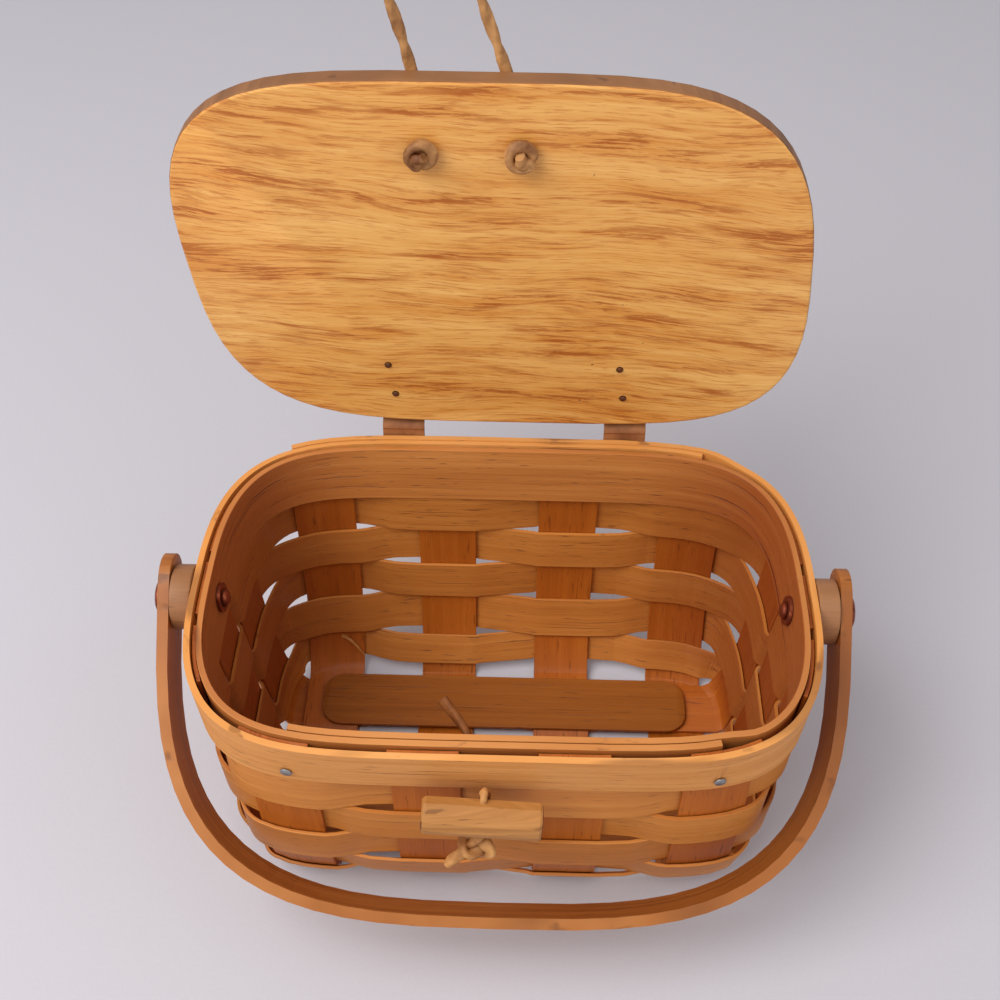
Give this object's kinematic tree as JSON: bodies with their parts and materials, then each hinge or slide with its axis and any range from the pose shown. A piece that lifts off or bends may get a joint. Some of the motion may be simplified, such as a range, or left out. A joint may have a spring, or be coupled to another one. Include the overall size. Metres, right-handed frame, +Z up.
{
  "type": "lidded splint basket",
  "caption": "Small oblong basket of woven wood splints with a flat hinged board lid, a swing handle on spacers, and a lace loop and peg clasp.",
  "frame": {"origin": "on the table, under the middle of the basket's rim", "axes": "+Z up, +Y towards the hinges at the back, +X to the right as seen from the front; the lid stands open and the handle hangs forward"},
  "size_m": [0.2016, 0.151, 0.25],
  "materials": {
    "splint": "thin ash splint, warm brown stain, satin",
    "stake_wood": "thin ash splint, darker orange-brown stain, satin",
    "band_wood": "ash band, light brown stain, satin",
    "lid_oak": "flat-sawn oak board, honey-brown oil finish",
    "handle_wood": "bent hardwood strip, brown stain, satin",
    "spacer_wood": "pale hardwood, satin",
    "strap_leather": "brown strap leather",
    "lace_leather": "tan leather lace",
    "rivet_copper": "darkened copper",
    "nail_steel": "small steel nails"
  },
  "bodies": {
    "basket": {"weaver_row_1": "splint", "weaver_row_2": "splint", "weaver_row_3": "splint", "weaver_row_4": "splint", "weaver_row_5": "splint", "floor_filler_1": "splint", "floor_filler_2": "splint", "stake_across_1": "stake_wood", "stake_across_2": "stake_wood", "stake_across_3": "stake_wood", "stake_across_4": "stake_wood", "stake_along_1": "stake_wood", "stake_along_2": "stake_wood", "stake_along_3": "stake_wood", "inner_band": "band_wood", "outer_band": "band_wood", "spacer_left": "spacer_wood", "spacer_right": "spacer_wood", "strap_band_left": "strap_leather", "strap_band_right": "strap_leather", "toggle_lace": "lace_leather", "rivet_left": "rivet_copper", "rivet_right": "rivet_copper", "burr_left": "rivet_copper", "burr_right": "rivet_copper", "band_tack_left_1": "rivet_copper", "band_tack_left_2": "rivet_copper", "band_tack_right_1": "rivet_copper", "band_tack_right_2": "rivet_copper", "front_nail_1": "nail_steel", "front_nail_2": "nail_steel"},
    "lid": {"lid": "lid_oak", "strap_lid_left": "strap_leather", "strap_lid_right": "strap_leather", "lid_loop": "lace_leather", "lid_knot_1": "lace_leather", "lid_knot_2": "lace_leather", "lid_tack_left_1": "rivet_copper", "lid_tack_left_2": "rivet_copper", "lid_tack_right_1": "rivet_copper", "lid_tack_right_2": "rivet_copper"},
    "handle": {"handle": "handle_wood"},
    "toggle": {"toggle_peg": "spacer_wood", "toggle_stub": "lace_leather", "toggle_knot": "lace_leather", "toggle_end": "lace_leather"}
  },
  "joints": [
    {"name": "lid_hinge", "type": "hinge", "parent": "basket", "child": "lid", "pos_m": [0, 0.06083, 0.0966], "axis": [1, 0, 0], "range_deg": [0, 92.4]},
    {"name": "handle_swing", "type": "hinge", "parent": "basket", "child": "handle", "pos_m": [0, 0, 0.0859], "axis": [-1, 0, 0], "range_deg": [-5, 155]},
    {"name": "toggle_swivel", "type": "hinge", "parent": "basket", "child": "toggle", "pos_m": [-0.0036, -0.06058, 0.0837], "axis": [0, 1, 0], "range_deg": [-20, 20]}
  ]
}
